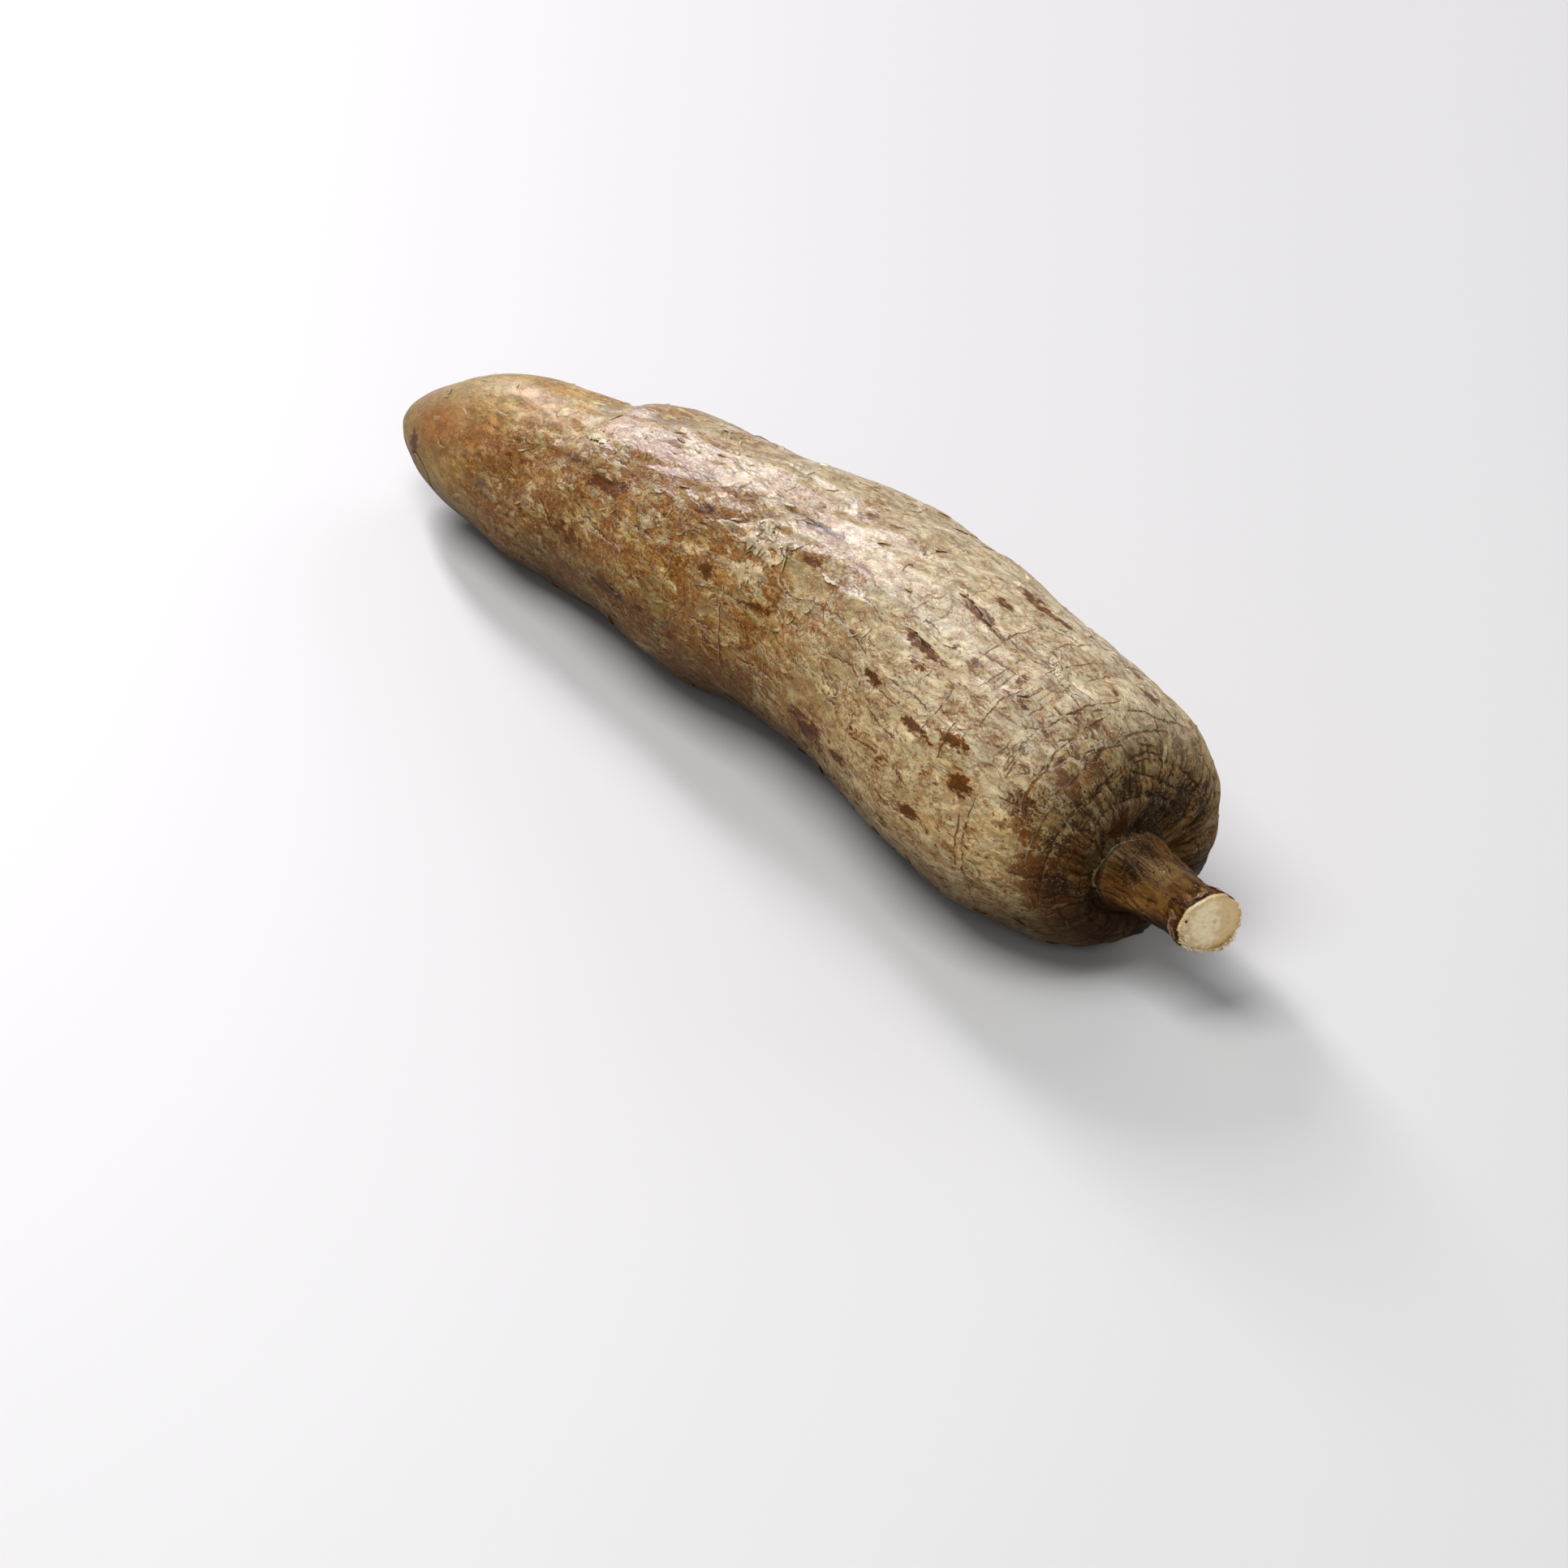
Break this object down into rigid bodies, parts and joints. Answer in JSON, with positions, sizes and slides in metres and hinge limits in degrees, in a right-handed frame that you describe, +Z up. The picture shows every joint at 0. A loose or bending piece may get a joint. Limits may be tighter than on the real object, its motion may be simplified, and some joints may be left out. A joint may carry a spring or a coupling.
{
  "type": "cassava root",
  "caption": "Whole uncut cassava root lying on its side, with a rounded tail, a thick barrel and a short cut neck in a folded dimple.",
  "frame": {"origin": "middle of the root's box, on the surface that the root lies on", "axes": "+X along the root from the tail towards the cut neck, +Y to its left side, +Z up"},
  "size_m": [0.3258, 0.072, 0.0657],
  "materials": {
    "cassava_skin": "satin"
  },
  "bodies": {
    "root": {"cassava_root": "cassava_skin"}
  },
  "joints": []
}
